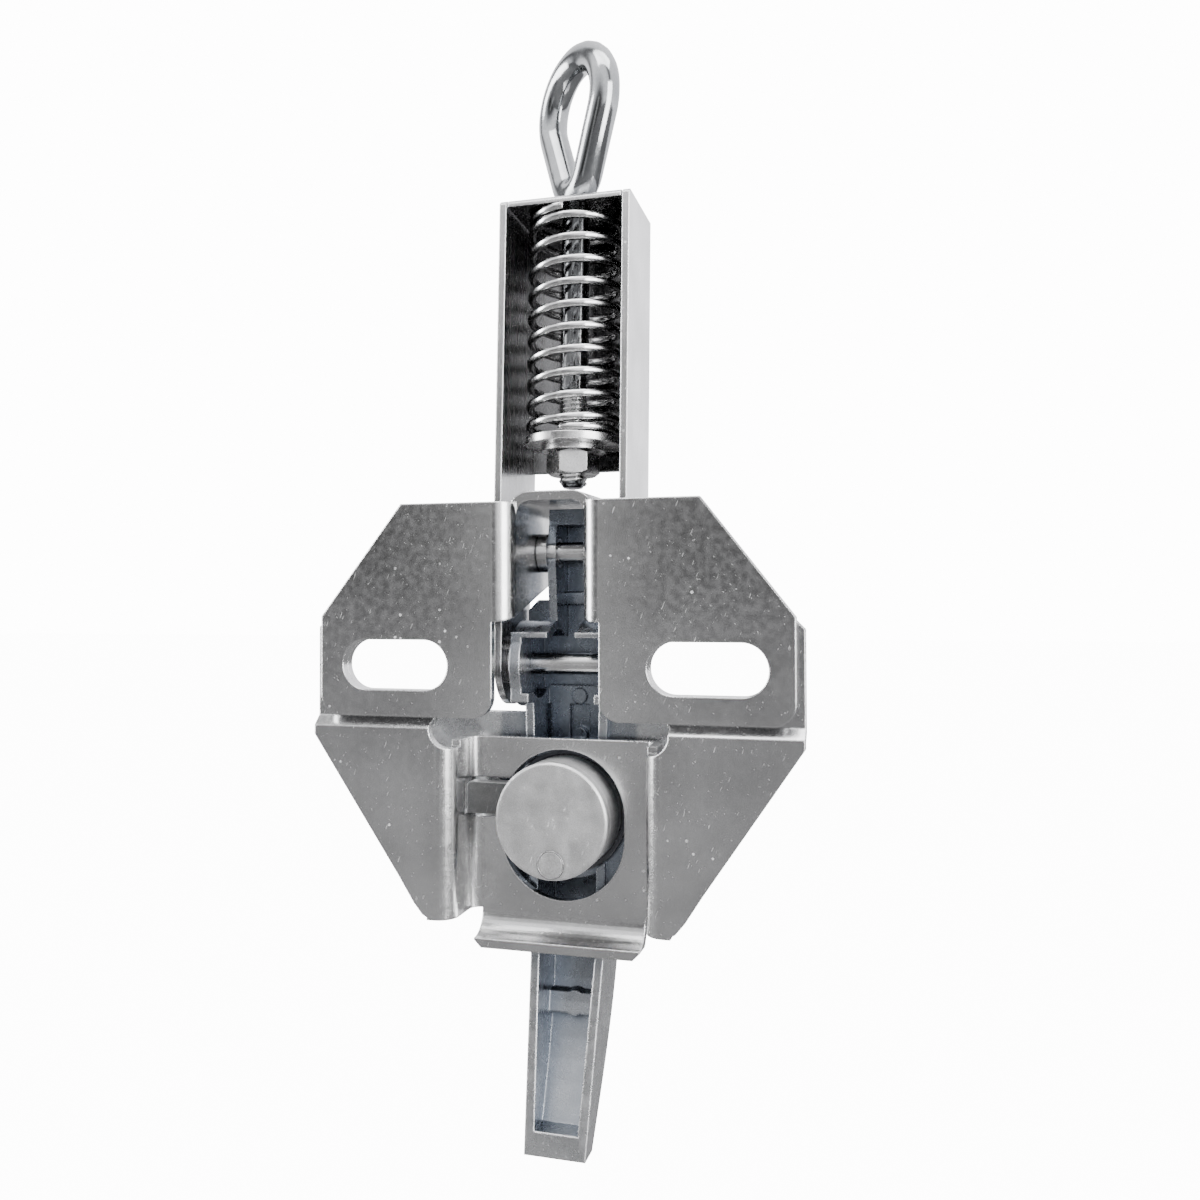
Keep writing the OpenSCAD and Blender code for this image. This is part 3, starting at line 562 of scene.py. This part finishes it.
def finish_nodes():
    """Each CAD node's own metal; the shade colours are painted shade in recesses, and the
    worn colours also paint the edges' highlight.
    """
    paint(
        plated_metal("satin_zinc_sheet", grey(0.55), grey(0.71), grey(0.98), (0.18, 0.26),
                     flakes=0.8, scratches=0.35, relief=0.10, stretch=(500.0, 500.0, 500.0),
                     cloud=45.0, edge_radius=0.0006, edge_grain=0.5, reach=0.004,
                     shade_share=0.2),
        "upper_bracket", "lower_bracket",
    )
    paint(
        plated_metal("bright_zinc_channel", grey(0.70), grey(0.90), grey(0.97), (0.16, 0.28),
                     flakes=0.6, scratches=0.3, stretch=(700.0, 700.0, 40.0),
                     edge_grain=0.6, shade=(0.13, 0.13, 0.135), reach=0.030,
                     shade_share=0.76),
        "spring_channel",
    )
    # The handle's blue-grey shade is painted shade in its hollows, held back at the grip's
    # end and beyond the wings.
    paint(
        plated_metal("die_cast_handle", grey(0.56, 0.01), grey(0.76, 0.01), grey(0.97),
                     (0.22, 0.36), flakes=0.3, scratches=0.3, relief=0.22,
                     edge_radius=0.0007, shade=(0.15, 0.18, 0.225), reach=0.022,
                     shade_share=0.88, open_from=0.40,
                     lit_end=(-0.075, -0.050, 0.92), wings=(0.0185, 0.0205, 0.0)),
        "handle",
    )
    paint(
        plated_metal("matt_lock_casting", grey(0.68), grey(0.82), grey(0.97), (0.42, 0.52),
                     flakes=0.5, scratches=0.6, relief=0.15, cloud=160.0,
                     edge_radius=0.0006, shade=(0.05, 0.05, 0.06), reach=0.012,
                     shade_share=0.8),
        "lock_housing", "lock_cap", "cap_screw",
    )
    paint(
        plated_metal("turned_steel", grey(0.60), grey(0.78), grey(0.95), (0.14, 0.26),
                     flakes=0.2, scratches=0.2, relief=0.06,
                     stretch=(40.0, 900.0, 900.0), reach=0.006),
        "pivot_pin", "link_pin", "drive_pin", "pivot_bushes",
    )
    paint(
        plated_metal("dark_spring_steel", grey(0.12), grey(0.22), grey(0.5), (0.25, 0.4),
                     flakes=0.2, scratches=0.2),
        "pivot_clip", "link_clip", "lock_ring",
    )
    paint(
        plated_metal("dark_bolt_steel", grey(0.16), grey(0.30), grey(0.65), (0.28, 0.42),
                     flakes=0.3, scratches=0.4, relief=0.15,
                     stretch=(60.0, 700.0, 700.0)),
        "lock_bolt",
    )
    paint(
        plated_metal("nickel_plug", (0.52, 0.49, 0.40), (0.64, 0.61, 0.52), grey(0.85),
                     (0.22, 0.34), flakes=0.1, scratches=0.4),
        "lock_plug",
    )
    paint(
        plated_metal("zinc_washer", grey(0.50), grey(0.72), grey(0.95), (0.18, 0.32),
                     flakes=0.3, scratches=0.3, reach=0.004, shade=(0.06, 0.06, 0.065),
                     shade_share=0.4),
        "link_washers", "spring_seat", "flat_washer", "nut",
    )
    paint(
        plated_metal("bright_spring_wire", grey(0.66), grey(0.84), grey(0.97), (0.08, 0.18),
                     flakes=0.1, scratches=0.1, relief=0.03, reach=0.010,
                     shade=(0.02, 0.02, 0.025), shade_share=0.8),
        "spring",
    )
    paint(
        plated_metal("bright_eye_plating", grey(0.30, 0.01), grey(0.48, 0.01), grey(0.92),
                     (0.06, 0.14), flakes=0.15, scratches=0.15, relief=0.05,
                     reach=0.012, shade=(0.05, 0.055, 0.065), shade_share=0.75),
        "eye_bolt",
    )


# Pieces of the scene's own

def shank_axis():
    """The direction of the leaning shank, from the link pin towards the eye."""
    return Vector((0.0, math.sin(SHANK_LEAN), math.cos(SHANK_LEAN)))


def open_copy(node):
    """A merged copy of a CAD node's mesh, alone selected and left open in edit mode."""
    bpy.ops.object.select_all(action="DESELECT")
    piece = bpy.data.objects.new(node + "_copy", nodes[node].data.copy())
    bpy.context.scene.collection.objects.link(piece)
    bpy.context.view_layer.objects.active = piece
    piece.select_set(True)
    bpy.ops.object.mode_set(mode="EDIT")
    bpy.ops.mesh.select_all(action="SELECT")
    bpy.ops.mesh.remove_doubles(threshold=MERGE_GAP)
    return piece


def finish_piece(piece, name, metal, body):
    """Fixes a piece's place in its mesh, shades it and says what it rides on."""
    bpy.ops.object.transform_apply(location=True, rotation=True, scale=True)
    piece.name = name
    bpy.ops.object.shade_smooth_by_angle(angle=SMOOTH_ANGLE)
    piece.data.materials.clear()
    piece.data.materials.append(metal)
    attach(piece, body)


def cut_shank_for_thread():
    """The eye bolt again, with its shank turned down to the thread's root."""
    bolt = open_copy("eye_bolt")
    axis = shank_axis()
    for height in (THREAD_TOP, THREAD_TOP + THREAD_RUNOUT):
        bpy.ops.mesh.select_all(action="SELECT")
        bpy.ops.mesh.bisect(plane_co=SHANK_FOOT + axis * height, plane_no=axis)
    bpy.ops.mesh.select_all(action="DESELECT")
    bpy.ops.object.mode_set(mode="OBJECT")
    middle = THREAD_TOP + THREAD_RUNOUT / 2
    for corner in bolt.data.vertices:
        corner.select = (corner.co - SHANK_FOOT).dot(axis) < middle
    bpy.ops.object.mode_set(mode="EDIT")
    share = THREAD_ROOT / (SHANK_WIDTH / 2)
    turned = Matrix.Rotation(-SHANK_LEAN, 3, "X")
    bpy.ops.transform.resize(
        value=(share, share, 1.0), orient_type="GLOBAL",
        orient_matrix=[list(row) for row in turned.transposed()],
        orient_matrix_type="GLOBAL", center_override=SHANK_FOOT,
    )
    bpy.ops.object.mode_set(mode="OBJECT")
    finish_piece(bolt, "eye_bolt_turned", METALS["eye_bolt"], "eye")
    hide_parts("eye_bolt")


def add_shank_thread():
    """The rolled thread: a four-sided ridge screwed up the shank, one turn a pitch."""
    bpy.ops.object.select_all(action="DESELECT")
    bpy.ops.mesh.primitive_circle_add(
        vertices=4, radius=THREAD_PITCH / 2, location=(0, 0, 0),
        rotation=(math.radians(90), 0, 0),
    )
    thread = bpy.context.object
    bpy.ops.object.transform_apply(location=True, rotation=True, scale=True)
    bpy.ops.object.mode_set(mode="EDIT")
    bpy.ops.mesh.select_all(action="SELECT")
    bpy.ops.transform.resize(value=(THREAD_DEPTH / THREAD_PITCH * 2, 1.0, 1.0))
    bpy.ops.transform.translate(value=(SHANK_WIDTH / 2 - THREAD_DEPTH, 0, 0))
    bpy.ops.object.mode_set(mode="OBJECT")
    screw = thread.modifiers.new("turns", "SCREW")
    screw.axis = "Z"
    screw.angle = math.radians(360)
    screw.screw_offset = THREAD_PITCH
    screw.iterations = int((THREAD_TOP - THREAD_LOW) / THREAD_PITCH)
    screw.steps = THREAD_STEPS
    screw.render_steps = THREAD_STEPS
    bpy.ops.object.modifier_apply(modifier=screw.name)
    bpy.ops.object.mode_set(mode="EDIT")
    bpy.ops.mesh.select_all(action="DESELECT")
    bpy.ops.mesh.select_mode(type="EDGE")
    bpy.ops.mesh.select_non_manifold()
    bpy.ops.mesh.fill()
    bpy.ops.mesh.select_all(action="SELECT")
    bpy.ops.mesh.normals_make_consistent(inside=False)
    bpy.ops.object.mode_set(mode="OBJECT")
    thread.location = SHANK_FOOT + shank_axis() * THREAD_LOW
    thread.rotation_euler = (-SHANK_LEAN, 0, 0)
    finish_piece(thread, "shank_thread", METALS["nut"], "eye")


def add_working_spring():
    """The spring again, as its own piece that rides on the link."""
    spring = open_copy("spring")
    bpy.ops.object.mode_set(mode="OBJECT")
    finish_piece(spring, "working_spring", METALS["spring"], "link")
    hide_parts("spring")
    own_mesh(spring)


def add_screw_ring():
    """The raised burr of metal that is staked round the cover plate's screw."""
    bpy.ops.object.select_all(action="DESELECT")
    bpy.ops.mesh.primitive_torus_add(
        major_radius=STAKE_RADIUS, minor_radius=STAKE_WIDTH / 2, major_segments=72,
        minor_segments=12, location=STAKE_PLACE, rotation=(math.radians(90), 0, 0),
    )
    finish_piece(bpy.context.object, "screw_stake_ring", METALS["lock_bolt"], "handle")


def add_brow_crest():
    """A short rib behind the neck, which carries the outer face's top edge further up."""
    bpy.ops.object.select_all(action="DESELECT")
    bpy.ops.mesh.primitive_cube_add(size=1.0, location=(0, BROW_Y, BROW_Z))
    crest = bpy.context.object
    crest.scale = (BROW_WIDTH, BROW_THICK, BROW_HEIGHT)
    bpy.ops.object.transform_apply(location=True, rotation=True, scale=True)
    for edge in crest.data.edges:
        ends = [crest.data.vertices[corner].co for corner in edge.vertices]
        edge.select = all(end.z > BROW_Z for end in ends) and ends[0].x == ends[1].x
    bpy.ops.object.mode_set(mode="EDIT")
    bpy.ops.mesh.select_mode(type="EDGE")
    bpy.ops.mesh.bevel(offset=BROW_CORNER, segments=6)
    bpy.ops.object.mode_set(mode="OBJECT")
    finish_piece(crest, "brow_crest", METALS["handle"], "handle")


place_camera()
light_studio()
add_floor()
finish_nodes()
cut_shank_for_thread()
add_shank_thread()
add_working_spring()
add_screw_ring()
add_brow_crest()
